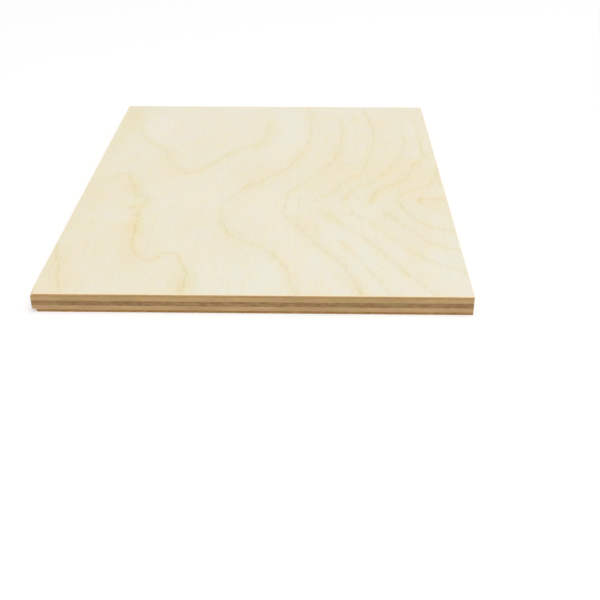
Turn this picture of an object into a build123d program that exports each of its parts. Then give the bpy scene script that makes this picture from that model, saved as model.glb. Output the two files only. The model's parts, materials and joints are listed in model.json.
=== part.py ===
from build123d import *
import os

# Small sheet of five-ply birch plywood, sawn to size and lying flat, in millimetres.
# X runs across the sheet, Y from front to back along the grain of both faces, Z up.
# The origin is the middle of the underside.

# Sheet, as sawn
sheet_width = 152.4
sheet_depth = 203.2

# Plies, from the underside up. The grain of the veneers and the core runs along Y,
# and that of the two crossbands along X.
back_veneer_thickness = 0.95
lower_crossband_thickness = 1.75
core_ply_thickness = 1.7
upper_crossband_thickness = 1.8
face_veneer_thickness = 0.9

# Edges: the arris of the face is sanded round, that of the back is only broken, and the
# upright corners are worn round
face_arris_radius = 0.3
back_arris_radius = 0.15
corner_radius = 0.4

# Torn corner: at the front left a scrap of the back veneer is gone, up to its glue line.
# The broken wall leans, so the tear is wider on the underside than at the glue. The scrap
# pulled a thin wedge of the lower crossband off with it.
tear_across_grain = 1.95
tear_along_grain = 3.6
tear_wall_lean = 0.5
pulled_wedge_height = 0.25

# Struck corner: at the front left a flake is gone from the top of the sheet. It split off
# along the grain of the face veneer and took the crossband's corner with it.
flake_across_grain = 0.8
flake_along_grain = 5.0
flake_height = 1.2

plies = [
    ("back_veneer", back_veneer_thickness),
    ("lower_crossband", lower_crossband_thickness),
    ("core_ply", core_ply_thickness),
    ("upper_crossband", upper_crossband_thickness),
    ("face_veneer", face_veneer_thickness),
]
sheet_thickness = sum(thickness for name, thickness in plies)
corner_x = -sheet_width / 2
corner_y = -sheet_depth / 2


def ply_plate(base, thickness):
    """One ply at the full size of the sheet, with its underside at the height base."""
    outline = RectangleRounded(sheet_width, sheet_depth, corner_radius)
    return extrude(Pos(0, 0, base) * outline, amount=thickness)


def eased(outer_face, arris_radius):
    """The plate with the arris round this one of its flat faces sanded round."""
    return fillet(outer_face.edges(), arris_radius)


def tear_outline(height, narrower):
    """Outline of the tear at a height, its three broken points moved in by narrower."""
    outside = tear_across_grain
    across = tear_across_grain - narrower
    along = tear_along_grain - narrower
    points = [
        (-outside, -outside),
        (across, -outside),
        (across, 0),
        (across * 0.6, along * 0.45),
        (0, along),
        (-outside, along),
    ]
    return Pos(corner_x, corner_y, height) * Polygon(*points, align=None)


def torn_corner():
    """What is missing from the back veneer, from its glue line down past the underside."""
    lean_per_height = tear_wall_lean / back_veneer_thickness
    below = back_veneer_thickness
    at_glue_line = tear_outline(back_veneer_thickness, tear_wall_lean)
    under_sheet = tear_outline(-below, -lean_per_height * below)
    return loft([under_sheet, at_glue_line], ruled=True)


def outside_slant(tip_height, flat_height, across, along):
    """A block outside the slanting plane that leaves the corner's upright edge at tip_height.

    The plane cuts the level of flat_height at across on the front edge and at along on the left.
    """
    tip = Vector(corner_x, corner_y, tip_height)
    front = Vector(corner_x + across, corner_y, flat_height)
    side = Vector(corner_x, corner_y + along, flat_height)
    if flat_height > tip_height:
        outward = (front - tip).cross(side - tip)
    else:
        outward = (side - tip).cross(front - tip)
    reach = 4 * max(across, along, abs(flat_height - tip_height))
    slant = Plane(tip, x_dir=front - tip, z_dir=outward)
    return slant * Box(reach, reach, reach, align=(Align.CENTER, Align.CENTER, Align.MIN))


def pulled_wedge():
    """What the torn scrap took off the lower crossband's corner."""
    glue_line = back_veneer_thickness
    across = tear_across_grain - tear_wall_lean
    along = tear_along_grain - tear_wall_lean
    return outside_slant(glue_line + pulled_wedge_height, glue_line, across, along)


def struck_corner():
    """What is missing above the slanting plane where the flake split off."""
    tip_height = sheet_thickness - flake_height
    return outside_slant(tip_height, sheet_thickness, flake_across_grain, flake_along_grain)


# The plies are laid one on the other, glued face to face, and sawn through together
os.makedirs("parts", exist_ok=True)
damage = {
    "back_veneer": torn_corner(),
    "lower_crossband": pulled_wedge(),
    "upper_crossband": struck_corner(),
    "face_veneer": struck_corner(),
}
base = 0
for name, thickness in plies:
    ply = ply_plate(base, thickness)
    if name == "back_veneer":
        ply = eased(ply.faces().sort_by(Axis.Z)[0], back_arris_radius)
    if name == "face_veneer":
        ply = eased(ply.faces().sort_by(Axis.Z)[-1], face_arris_radius)
    if name in damage:
        ply = ply - damage[name]
    ply.label = name
    export_step(ply, f"parts/{name}.step")
    base += thickness
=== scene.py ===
"""A small sheet of five-ply birch plywood, lying on a pale floor in soft studio light.

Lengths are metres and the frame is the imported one: X across the sheet, Y from front to back
along the grain of both faces, Z up, with the origin at the middle of the underside.
"""
import json
import logging
import math
from dataclasses import dataclass, replace
from enum import Enum
from typing import ClassVar, Optional, Sequence, Union

import bpy
import numpy as np
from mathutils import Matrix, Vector, noise


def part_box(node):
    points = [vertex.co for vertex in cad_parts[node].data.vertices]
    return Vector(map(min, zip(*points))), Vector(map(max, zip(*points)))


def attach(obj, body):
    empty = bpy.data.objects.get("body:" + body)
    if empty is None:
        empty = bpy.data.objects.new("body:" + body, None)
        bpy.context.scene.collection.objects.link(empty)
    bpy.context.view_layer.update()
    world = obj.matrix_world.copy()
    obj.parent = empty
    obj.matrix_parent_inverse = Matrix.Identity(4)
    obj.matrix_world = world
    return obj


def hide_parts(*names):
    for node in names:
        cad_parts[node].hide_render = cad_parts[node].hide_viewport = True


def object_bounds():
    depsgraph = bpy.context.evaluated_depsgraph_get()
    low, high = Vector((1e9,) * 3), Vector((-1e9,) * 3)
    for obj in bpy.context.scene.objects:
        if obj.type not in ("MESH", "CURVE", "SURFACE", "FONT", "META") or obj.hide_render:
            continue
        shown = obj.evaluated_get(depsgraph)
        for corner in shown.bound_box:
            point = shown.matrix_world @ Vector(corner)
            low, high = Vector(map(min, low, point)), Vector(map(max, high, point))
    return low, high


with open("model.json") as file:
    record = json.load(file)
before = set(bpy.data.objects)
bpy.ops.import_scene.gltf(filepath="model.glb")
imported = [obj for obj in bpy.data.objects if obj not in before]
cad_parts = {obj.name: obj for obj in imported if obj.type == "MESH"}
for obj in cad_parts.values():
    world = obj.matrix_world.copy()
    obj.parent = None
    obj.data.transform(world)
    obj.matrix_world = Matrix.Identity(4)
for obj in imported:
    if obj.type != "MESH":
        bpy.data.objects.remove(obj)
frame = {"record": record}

LOG = logging.getLogger("plywood")
CAD_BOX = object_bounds()
MAP_NAME = "OFBake"
MM = 0.001
NEXT_TO_NOTHING = 1e-9
Socket = bpy.types.NodeSocket
Colour = tuple[float, float, float]
Curve = tuple[tuple[float, float], ...]


# Helpers

def srgb(red: int, green: int, blue: int) -> Colour:
    """A colour as it is picked on a screen, in the linear shares that shaders take.

    Args:
        red: Red, 0 to 255.
        green: Green, 0 to 255.
        blue: Blue, 0 to 255.

    Returns:
        The three linear shares, 0 to 1.
    """
    knee, slope, lift, power = 0.04045, 12.92, 0.055, 2.4
    shares = [channel / 255 for channel in (red, green, blue)]
    return tuple(c / slope if c <= knee else ((c + lift) / (1 + lift)) ** power for c in shares)


def put_in_scene(name: str, data: bpy.types.ID) -> bpy.types.Object:
    """Puts a mesh, a curve, a lamp or a camera in the scene.

    Args:
        name: Name of the object.
        data: What it shows.

    Returns:
        The object.
    """
    made = bpy.data.objects.new(name, data)
    bpy.context.scene.collection.objects.link(made)
    return made


def waver(points: np.ndarray, pitch: Sequence[float], place: float) -> np.ndarray:
    """Smooth noise at each point, about -1 to 1, with its swings pitch apart and read at place."""
    scaled = points / np.asarray(pitch) + place
    return np.array([noise.noise(Vector(point)) for point in scaled])


def with_height(points: np.ndarray, height: Union[float, np.ndarray]) -> np.ndarray:
    """Rows of x and y given a height, as rows of x, y and z."""
    return np.column_stack([points, np.broadcast_to(height, len(points))])


def glue_height(points: np.ndarray, height: float) -> np.ndarray:
    """Height of a glue line round the sheet, which wanders a little as the veneers' thickness does.

    Args:
        points: Points on the sawn outline as rows of x and y.
        height: The line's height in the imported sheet.

    Returns:
        One height for each point. Both plies and the line of glue take theirs from here.
    """
    slow_swing, slow_pitch = 0.07 * MM, 16 * MM
    quick_swing, quick_pitch = 0.05 * MM, 1.7 * MM
    places_per_mm, quick_place = 7.3, 40
    place = height / MM * places_per_mm
    flat = with_height(points, 0.0)
    slow = waver(flat, [slow_pitch] * 3, place)
    quick = waver(flat, [quick_pitch] * 3, place + quick_place)
    return height + slow_swing * slow + quick_swing * quick


class Grain(Enum):
    """The way a ply's fibres run, as the index of the axis."""

    ACROSS = 0
    ALONG = 1

    def pitch(self, across: float, along: float) -> tuple[float, float, float]:
        """Spacings along x, y and z of a pattern that is stretched along the fibres."""
        return (along, across, across) if self is Grain.ACROSS else (across, along, across)

    def end_pitch(self, beside: float, height: float) -> tuple[float, float, float]:
        """Spacings along x, y and z of a pattern seen on the ends of the fibres."""
        through = 50
        return (through, beside, height) if self is Grain.ACROSS else (beside, through, height)


class Shown(Enum):
    """Which of a ply's flat faces shows, as the way that it looks."""

    NEITHER = 0
    TOP = 1
    UNDER = -1


class Lie(Enum):
    """How a pattern lies on a ply."""

    FIBRES = "stretched along the fibres"
    ENDS = "seen on the ends of the fibres"
    FREE = "the same whichever way the fibres run"


@dataclass(frozen=True)
class Pattern:
    """One pattern of the wood: noise at spacings of its own, eased from a low to a high result.

    Attributes:
        pitch: How far apart its swings are, in millimetres: across and along the fibres, or
            beside and up their ends, or along x, y and z if it lies free.
        place: Where in the noise to read, beside the ply's own place.
        detail: Number of finer layers.
        rough: Strength of each finer layer.
        start: Noise at which it leaves its low result.
        stop: Noise at which it reaches its high result.
        low: Its low result.
        high: Its high result.
        lie: How it lies on the ply.
        turn: Angles about x, y and z by which it is turned, if it is.
    """

    pitch: tuple[float, ...]
    place: float
    detail: float = 2.0
    rough: float = 0.5
    start: float = 0.25
    stop: float = 0.75
    low: float = 0.0
    high: float = 1.0
    lie: Lie = Lie.FIBRES
    turn: Optional[tuple[float, float, float]] = None

    def spacing(self, grain: Grain) -> tuple[float, ...]:
        """How far apart its swings are along x, y and z.

        Args:
            grain: The way the ply's fibres run.

        Returns:
            The three spacings in metres.
        """
        spacing = self.pitch
        if self.lie is not Lie.FREE:
            spacing = (grain.pitch if self.lie is Lie.FIBRES else grain.end_pitch)(*self.pitch)
        return tuple(part * MM for part in spacing)


# The sawn outline

@dataclass(frozen=True)
class Outline:
    """The sawn outline of the sheet and the grid that its flat faces are laid out on.

    Attributes:
        half_x: Half the sheet's width.
        half_y: Half the sheet's depth.
        corner_radius: Wear of the upright corners.
        step: Spacing of the grid in the middle of a face.
        first_step: Spacing of the grid at the edges.
        growth: Ratio of each spacing to the one outside it, until step is reached.
        fineness: Points on a sawn edge for each spacing of the grid.
    """

    half_x: float
    half_y: float
    corner_radius: float = 0.4 * MM
    step: float = 1.0 * MM
    first_step: float = 0.15 * MM
    growth: float = 1.4
    fineness: int = 4

    @property
    def half(self) -> np.ndarray:
        """Half the width and half the depth."""
        return np.array([self.half_x, self.half_y])

    def lines(self, half: float) -> np.ndarray:
        """Places of the grid's lines from one edge to the other, closer together near both.

        Args:
            half: Half the distance between the two edges.

        Returns:
            The places, from -half to half.
        """
        steps = [self.first_step]
        while steps[-1] * self.growth < self.step:
            steps.append(steps[-1] * self.growth)
        near = np.cumsum(steps)
        inner = half - near[-1]
        count = round(2 * inner / self.step)
        edge = half - near[:-1]
        return np.concatenate([[-half], -edge, np.linspace(-inner, inner, count + 1), edge[::-1], [half]])

    def grid(self, inset: float) -> tuple[np.ndarray, tuple[int, int]]:
        """Points of the grid over a face.

        Args:
            inset: How far the grid stays inside the sawn outline.

        Returns:
            Points as rows of x and y, from the front to the back, and how many lie across and along.
        """
        shrink = (self.half - inset) / self.half
        across = self.lines(self.half_x) * shrink[0]
        along = self.lines(self.half_y) * shrink[1]
        x, y = np.meshgrid(across, along)
        return np.column_stack([x.ravel(), y.ravel()]), (len(across), len(along))

    @staticmethod
    def rim_of(counts: tuple[int, int]) -> np.ndarray:
        """Picks out a grid's outermost points.

        Args:
            counts: How many points lie across and along.

        Returns:
            Their indices, anticlockwise from the front left corner.
        """
        across, along = counts
        front = np.arange(across - 1)
        right = np.arange(along - 1) * across + across - 1
        back = across * along - 1 - np.arange(across - 1)
        left = (along - 1 - np.arange(along - 1)) * across
        return np.concatenate([front, right, back, left])

    def rim(self, inset: float, fine: bool = True) -> np.ndarray:
        """The outline with square corners, anticlockwise from the front left corner.

        Args:
            inset: How far the rim stays inside the sawn outline.
            fine: True for the points of a sawn edge, False for those of the grid.

        Returns:
            Points as rows of x and y.
        """
        points, counts = self.grid(inset)
        rim = points[self.rim_of(counts)]
        if not fine:
            return rim
        after = np.roll(rim, -1, axis=0)
        share = (np.arange(self.fineness) / self.fineness)[None, :, None]
        return (rim[:, None, :] * (1 - share) + after[:, None, :] * share).reshape(-1, 2)

    def worn(self, points: np.ndarray, inset: float) -> np.ndarray:
        """Moves points off the square corners onto the worn ones.

        Args:
            points: Points as rows of x and y.
            inset: How far their outermost ring lies inside the sawn outline.

        Returns:
            The moved points.
        """
        half = self.half - inset
        gap = half - np.abs(points)
        ring = gap.min(axis=1)
        run = gap.max(axis=1) - ring
        bend = np.maximum(self.corner_radius - inset - ring, NEXT_TO_NOTHING)
        turn = np.clip(1 - run / bend, 0, 1) * math.pi / 4
        along = ring + np.where(turn > 0, bend * (1 - np.sin(turn)), run)
        inward = ring + bend * (1 - np.cos(turn))
        at_side = gap[:, 0] < gap[:, 1]
        moved = np.column_stack([np.where(at_side, inward, along), np.where(at_side, along, inward)])
        return np.sign(points) * (half - moved)


@dataclass(frozen=True)
class CornerBreak:
    """A break at the front left corner, from the front edge round to the left one.

    Attributes:
        low: Height of its lower end.
        high: Height of its upper end.
        low_size: How far it reaches along the front and the left edge at its lower end.
        high_size: The same at its upper end.
        belly: Middle point of the break as shares of those two reaches.
        spread: How far in from the edges the face's points make room for it.
    """

    low: float
    high: float
    low_size: tuple[float, float]
    high_size: tuple[float, float]
    belly: tuple[float, float] = (0.5, 0.5)
    spread: float = 6 * MM

    def shift(self, points: np.ndarray, heights: np.ndarray, half: np.ndarray) -> np.ndarray:
        """How far each point moves in from the square corner.

        Args:
            points: Points as rows of x and y, before the corners are worn.
            heights: Height of each point.
            half: Half the sheet's width and depth.

        Returns:
            Moves as rows of x and y, nought away from the corner.
        """
        share = np.clip((heights - self.low) / (self.high - self.low), 0, 1)
        sizes = [low + (high - low) * share for low, high in zip(self.low_size, self.high_size)]
        gap = points + half
        ring = gap.min(axis=1)
        run = gap - ring[:, None]
        move = np.zeros_like(points)
        for axis in (0, 1):
            other = 1 - axis
            size = np.maximum(sizes[axis], NEXT_TO_NOTHING)
            left_over = 1 - run[:, axis] / size
            here = (run[:, axis] >= run[:, other]) & (left_over > 0)
            move[here, axis] = (size * self.belly[axis] * left_over)[here]
            move[here, other] = (sizes[other] * self.belly[other] * left_over)[here]
        return move * np.clip(1 - ring / self.spread, 0, 1)[:, None]


@dataclass(frozen=True)
class MapLayout:
    """Where a ply's surfaces lie on its flat map, so that those that show get nearly all of it.

    The shown face lies at the left, then each sawn edge in upright strips, and the hidden faces
    lie small in a last column.

    Attributes:
        face_share: Share of the map's width that the shown face takes.
        splits: Strips for each of the four sawn edges.
        gap: Bare margin round each part.
    """

    face_share: float
    splits: int
    gap: float = 0.004

    @property
    def column(self) -> float:
        """Width of a strip with its margins."""
        return (1 - self.face_share) / (4 * self.splits + 1)

    def face(self, share: np.ndarray) -> np.ndarray:
        """Places on the shown face, from shares of its width and depth."""
        return self.gap + share * (self.face_share - 2 * self.gap, 1 - 2 * self.gap)

    def hidden(self, share: np.ndarray, upper: bool) -> np.ndarray:
        """Places on a hidden face, from shares of its width and depth."""
        corner = (1 - self.column + self.gap, self.gap + (0.5 if upper else 0))
        return corner + share * (self.column - 2 * self.gap, 0.5 - 2 * self.gap)

    def strip(self, number: np.ndarray, along: np.ndarray, up: np.ndarray) -> np.ndarray:
        """Places on the numbered strips.

        Args:
            number: The strips' numbers.
            along: Shares of their length.
            up: Shares of their height.

        Returns:
            Places, the two coordinates last.
        """
        left = self.face_share + number * self.column + self.gap
        across = left + up * (self.column - 2 * self.gap)
        return np.stack([across, self.gap + along * (1 - 2 * self.gap)], axis=-1)


# Figure of the veneers

@dataclass(frozen=True)
class RingLine:
    """One growth ring where the peeling knife cut it: a dark line that fades to one side.

    Attributes:
        points: Points that it passes, in percent of the sheet's width from the left edge and
            of its depth from the back edge.
        strengths: How dark it is at places evenly along its way.
        fades_right: True if it fades to the right of the way its points run.
        widths: How wide it is at such places, beside the usual.
        jagged: How far it jags where it runs across the grain, beside the usual.
    """

    points: tuple[tuple[float, float], ...]
    strengths: tuple[float, ...]
    fades_right: bool = False
    widths: tuple[float, ...] = (1.0,)
    jagged: float = 1.0

    def path(self, half: np.ndarray, spacing: float) -> np.ndarray:
        """Points evenly along a smooth curve through the line's own points.

        Args:
            half: Half the sheet's width and depth.
            spacing: About how far apart they are.

        Returns:
            Points as rows of x and y.
        """
        share = np.array(self.points) / 50 - 1
        own = share * half * (1, -1)
        ends = np.concatenate([[2 * own[0] - own[1]], own, [2 * own[-1] - own[-2]]])
        pieces = []
        for before, start, stop, after in zip(ends, ends[1:], ends[2:], ends[3:]):
            count = max(2, round(np.linalg.norm(stop - start) / spacing))
            t = (np.arange(count) / count)[:, None]
            slope = (stop - before) * t
            bend = (2 * before - 5 * start + 4 * stop - after) * t ** 2
            twist = (3 * start - before - 3 * stop + after) * t ** 3
            pieces.append(start + (slope + bend + twist) / 2)
        return np.concatenate(pieces + [own[-1:]])


@dataclass(frozen=True)
class SoftPatch:
    """A darker, yellower area of a veneer with no edge.

    Attributes:
        centre: Its middle, in percent of the width from the left and of the depth from the back.
        reach: Its half width and half depth, in percent.
        strength: How dark it is in the middle.
    """

    centre: tuple[float, float]
    reach: tuple[float, float]
    strength: float


@dataclass(frozen=True)
class Figure:
    """The figure of one veneer.

    Attributes:
        lines: Its ring lines.
        patches: Its soft patches.
        spacing: Distance between the samples of a line.
        taper: Length over which a line's ends fade out.
        clearance: How much nearer a line has to be than the next one to show in full.
        far: Offset that is stored where there is no line.
        across_width: Width of a line where it runs across the grain, as a share of its own.
        along_extra: How much wider it gets as it turns along the grain.
    """

    lines: tuple[RingLine, ...]
    patches: tuple[SoftPatch, ...] = ()
    spacing: float = 0.8 * MM
    taper: float = 4 * MM
    clearance: float = 1.6 * MM
    far: float = 20 * MM
    across_width: float = 0.7
    along_extra: float = 0.5

    def fields(self, points: np.ndarray, half: np.ndarray) -> dict[str, np.ndarray]:
        """What the finish needs to know at each point of the face.

        Args:
            points: Points of the face as rows of x and y.
            half: Half the sheet's width and depth.

        Returns:
            ring_offset, millimetres from the nearest line of usual width, positive where it fades;
            ring_run, how far its jags reach; ring_strength, how dark it is; and soft_shade, the
            darkness of the soft patches.
        """
        nearest, second, offset = (np.full(len(points), self.far) for _ in range(3))
        run, strength, shade = (np.zeros(len(points)) for _ in range(3))
        for line in self.lines:
            gap, signed, across, dark = self.beside(line, points, half)
            closer = gap < nearest
            second = np.where(closer, nearest, np.minimum(second, gap))
            nearest = np.where(closer, gap, nearest)
            offset = np.where(closer, signed, offset)
            run = np.where(closer, across, run)
            strength = np.where(closer, dark, strength)
        percent = (points / half * (1, -1) + 1) * 50
        for patch in self.patches:
            away = (percent - patch.centre) / patch.reach
            shade += patch.strength * np.exp(-(away ** 2).sum(axis=1))
        clear = np.clip((second - nearest) / self.clearance, 0, 1)
        return {
            "ring_offset": offset / MM,
            "ring_run": run,
            "ring_strength": strength * clear,
            "soft_shade": shade,
        }

    def beside(self, line: RingLine, points: np.ndarray, half: np.ndarray) -> tuple[np.ndarray, ...]:
        """Each point's place beside one ring line.

        Args:
            line: The ring line.
            points: Points of the face as rows of x and y.
            half: Half the sheet's width and depth.

        Returns:
            Distance, signed offset beside the line's width, how far its jags reach, and its
            darkness.
        """
        path = line.path(half, self.spacing)
        tangent = np.gradient(path, axis=0)
        tangent /= np.linalg.norm(tangent, axis=1)[:, None]
        normal = np.column_stack([tangent[:, 1], -tangent[:, 0]]) * (1 if line.fades_right else -1)
        travelled = np.concatenate([[0], np.cumsum(np.linalg.norm(np.diff(path, axis=0), axis=1))])
        way = travelled / travelled[-1]
        width, dark = (np.interp(way, np.linspace(0, 1, len(values)), values)
                       for values in (line.widths, line.strengths))
        width *= self.across_width + self.along_extra * np.abs(tangent[:, 1])
        to_end = np.minimum(travelled, travelled[-1] - travelled)
        dark *= np.clip(to_end / self.taper, 0, 1)
        nearest = np.empty(len(points), dtype=int)
        block = 4096
        for start in range(0, len(points), block):
            away = points[start:start + block, None, :] - path[None, :, :]
            nearest[start:start + block] = (away ** 2).sum(axis=2).argmin(axis=1)
        away = points - path[nearest]
        signed = (away * normal[nearest]).sum(axis=1)
        beyond = np.clip(np.abs((away * tangent[nearest]).sum(axis=1)) - self.spacing, 0, None)
        jags = line.jagged * normal[nearest, 1]
        return np.hypot(signed, beyond), signed / width[nearest], jags, dark[nearest]


FACE_FIGURE = Figure(
    lines=(
        # The tongue that hangs from the back edge on the left
        RingLine(((7.2, 10), (7.8, 15.5), (9.3, 20.9), (12.1, 26.5), (16.1, 29.3), (18.8, 31.7),
                  (20.9, 37.2), (23.6, 41.7), (26.3, 44.6), (28.5, 45.3), (31.8, 42.4), (35, 38.4),
                  (38.9, 33.1), (41.7, 30.8), (45.4, 28.9), (47.9, 25.4), (48.8, 20.3), (48.7, 14),
                  (48.4, 7)),
                 (0.2, 0.35, 0.7, 0.55, 0.55, 0.6, 0.65, 0.4, 0.1), fades_right=True,
                 widths=(0.8, 1.2, 0.9, 1.0)),
        # The ragged line down the left side
        RingLine(((4.9, 50.6), (6.2, 47.5), (9.8, 46), (11.6, 49.1), (13.6, 53.2), (15.5, 57.2),
                  (18.1, 59.3), (18.5, 61.6), (17.6, 64.1), (17.5, 68), (18.5, 74), (18.6, 79),
                  (19.8, 83.2), (21.4, 85.9), (23.7, 86.9), (25.6, 86.2), (27.2, 84.8), (29.2, 84.2),
                  (31.2, 85.5), (32.5, 88.4), (33.7, 91.5), (34.3, 95.5), (34, 100), (33.6, 104)),
                 (0.6, 0.5, 0.8, 0.6, 0.8, 0.85, 0.65, 0.55, 0.7, 0.7, 0.6), fades_right=True,
                 widths=(0.8, 0.9, 1.1, 1.1, 0.9, 0.7, 1.3, 2.6)),
        RingLine(((13.5, 65.4), (15.3, 64.1), (17.4, 64.8)), (1.4,), widths=(0.8,)),
        RingLine(((14.6, 66.3), (16.2, 66.8), (17.3, 69.5)), (0.8,), widths=(0.8,)),
        # The outermost of the nested flames on the right
        RingLine(((61.5, -4), (61.7, 3), (62.7, 13.3), (62.1, 24.3), (60.4, 31.3), (57.6, 39),
                  (55.3, 43.5), (52.2, 46.7), (48.4, 50.2), (44.5, 53.8), (41.4, 58.1), (39.3, 61.5),
                  (38.9, 65.5), (39.5, 70), (41, 74), (43.4, 77.1), (46.8, 79.7), (50.6, 81.8),
                  (53.2, 83.6), (55, 86.2), (56.8, 90), (58.5, 94.8), (59.8, 100), (60.5, 105)),
                 (0.35, 0.4, 0.45, 0.5, 0.6, 0.65, 0.4, 0.6, 0.5, 0.6, 0.5), widths=(1.1, 0.9, 0.9, 1.2)),
        # The second flame
        RingLine(((71, 4), (72.2, 10.9), (72.6, 16.5), (72.2, 23.1), (71.5, 29.3), (70.3, 35),
                  (68.1, 40.2), (65.4, 44.2), (62.9, 48.1), (60.4, 51), (58.5, 53.8), (56.6, 56.4),
                  (56, 60), (56.1, 63.4), (54.4, 69)),
                 (0.3, 0.4, 0.5, 0.5, 0.65, 0.55, 0.25, 0.5, 0.3, 0.3), widths=(0.8, 0.9, 1.1, 0.8)),
        RingLine(((54.2, 68), (55.8, 67), (58.6, 71), (60.5, 74), (62.9, 77.2), (63.9, 79.7), (66.1, 82.5),
                  (68.5, 85.8), (69.9, 87.6), (71.2, 90.7), (72.8, 94), (74.2, 98), (75.6, 103)),
                 (0.5, 0.6, 0.45, 0.4, 0.75, 0.8), widths=(1.5, 1.4, 1.7, 1.4)),
        # Short strokes before the third flame
        RingLine(((74.8, 5), (76.2, 9), (76.9, 14.5), (77.2, 21.6), (76.7, 27), (76.3, 32)), (0.3,),
                 widths=(0.7,)),
        RingLine(((70.5, 43), (72.8, 40.4), (76.2, 38.9)), (0.45,), widths=(0.7,)),
        RingLine(((29.5, 69), (31, 73), (30.2, 77)), (0.15,)),
        RingLine(((60.5, 57), (59.7, 61), (60, 65)), (0.3,)),
        # The third flame
        RingLine(((80, 2), (81.2, 8), (82.3, 16.3), (82.4, 22.9), (81.6, 28.5), (80.4, 34.1), (79.1, 39.1),
                  (77.4, 44.6), (75.2, 47.3), (73.1, 49.4), (71.5, 51.8), (69.7, 54.8), (67.1, 57.2),
                  (65.2, 58.9), (62.8, 61)),
                 (0.5, 0.55, 0.5, 0.5, 0.45, 0.45, 0.5, 0.5), widths=(0.8, 0.8, 0.9)),
        RingLine(((64.6, 63), (65.4, 65.4), (67.3, 67.3), (69.3, 69.8), (71.9, 72.6), (74.4, 74.4),
                  (76.4, 77), (78, 79.6), (79.8, 82.3), (81.5, 85.4), (83.3, 88.4), (85.6, 91.2),
                  (87.7, 94.3), (90, 97.4), (93.5, 102)),
                 (0.2, 0.6, 0.3, 0.35, 0.5, 0.45, 0.5, 0.4), widths=(1.0, 1.4, 1.6, 1.1, 1.3, 1.1)),
        RingLine(((69.2, 77.6), (71.1, 80.2), (72.3, 82.8), (74.2, 85.3), (75.8, 87.8), (77.4, 91.2),
                  (79.2, 94.9), (81.2, 99), (83, 103)),
                 (0.5, 0.4, 0.45, 0.45), widths=(0.7, 0.9)),
        # The fourth flame
        RingLine(((89, 4), (90.8, 11.5), (91.7, 18.2), (91.8, 24.6), (91, 29.8), (89.4, 34.8), (87.7, 38.4),
                  (84.8, 43.5), (83, 46.4), (81.4, 48.7), (79.7, 50.5), (77.8, 51.7), (75.6, 52.9),
                  (74.1, 54.8), (72.9, 57.5), (70.8, 61.4)),
                 (0.15, 0.2, 0.35, 0.3, 0.4, 0.5, 0.55, 0.55), widths=(0.7, 0.7, 0.8, 1.0)),
        RingLine(((73, 64.6), (74.2, 66.6), (75.8, 67.9), (78.2, 70.1), (80.2, 73), (82.1, 76),
                  (84.4, 78.8), (86.6, 81.9), (89.1, 84.4), (92.2, 86.9), (95.3, 89.1), (98.5, 90.7),
                  (103, 93.5)),
                 (0.5, 0.4, 0.35, 0.3, 0.35, 0.4, 0.3), widths=(1.6, 1.1, 1.5, 0.8, 1.1)),
        # The fifth flame
        RingLine(((94.6, 2), (96.2, 10), (96.6, 17.2), (96.4, 24), (96.5, 30), (96.6, 34.3), (95.3, 37),
                  (93.3, 39.8), (91.8, 43), (90.3, 47), (88, 49.7), (85.4, 51.6), (82.9, 53.1), (81, 55.1),
                  (79.8, 57.7), (79, 62.5)),
                 (0.2, 0.2, 0.25, 0.6, 0.75, 0.65, 0.5, 0.75, 0.7), widths=(0.7, 0.8, 0.9, 1.2)),
        RingLine(((80.6, 63.4), (83, 66.2), (84.7, 69.3), (86.9, 72.2), (88.8, 74.2), (91, 77.5),
                  (93.4, 79.7), (96.3, 81.2), (99, 82.8), (103, 85)),
                 (0.5, 0.55, 0.35, 0.4, 0.5, 0.25, 0.2), widths=(1.3, 1.5, 0.8, 0.9, 1.4)),
        # The sixth flame and the knotty start of a seventh
        RingLine(((102, 38), (99.4, 43.4), (97.9, 47.6), (95.8, 51.8), (93.7, 53.2), (90.8, 54.3), (88, 56),
                  (86.7, 58.6), (86.8, 61), (87.8, 64.3), (89.4, 68.1), (91.4, 70.8), (94.3, 72.8),
                  (97.5, 74.1), (102, 75.5)),
                 (0.5, 0.6, 0.5, 0.65, 0.65, 0.6), widths=(1.2, 0.8, 0.7, 0.9)),
        RingLine(((108, 58.8), (101.9, 58.9), (97.5, 59.1), (94.9, 58.5), (93, 58.7), (92.3, 59.9),
                  (93.2, 62)), (0.7, 0.8, 1.2), widths=(0.6, 0.9), jagged=0.3),
        # The line across the front left corner
        RingLine(((0, 80), (1.3, 85.3), (3.3, 90), (4.7, 94.7), (6.3, 98.7), (8.5, 104)), (0.55,)),
    ),
    patches=(
        SoftPatch((3.2, 7), (4.2, 11), 1.0),
        SoftPatch((50, 17), (2.2, 6), 0.5),
        SoftPatch((0, 62), (5, 55), 0.45),
        SoftPatch((2, 28), (3.5, 8), 0.35),
        SoftPatch((47, 4), (3, 5), 0.35),
        SoftPatch((98, 61.5), (5, 4.5), 0.55),
        SoftPatch((13.5, 53), (2.4, 4), 0.5),
        SoftPatch((17.6, 70.5), (1.4, 6), 0.9),
        SoftPatch((16, 63.5), (2.2, 2.5), 0.6),
        SoftPatch((45.5, 28.5), (3.5, 3), 0.4),
        SoftPatch((47, 51.5), (3, 3), 0.3),
        SoftPatch((33.6, 96), (2.6, 5.5), 0.8),
        SoftPatch((66, 50), (14, 8), 0.25),
        SoftPatch((86, 43), (26, 14), 0.55),
        SoftPatch((30, 48), (60, 24), 0.2),
        SoftPatch((18, 88), (34, 25), 0.3),
        SoftPatch((24, 72), (30, 12), 0.15),
    ),
)


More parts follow.
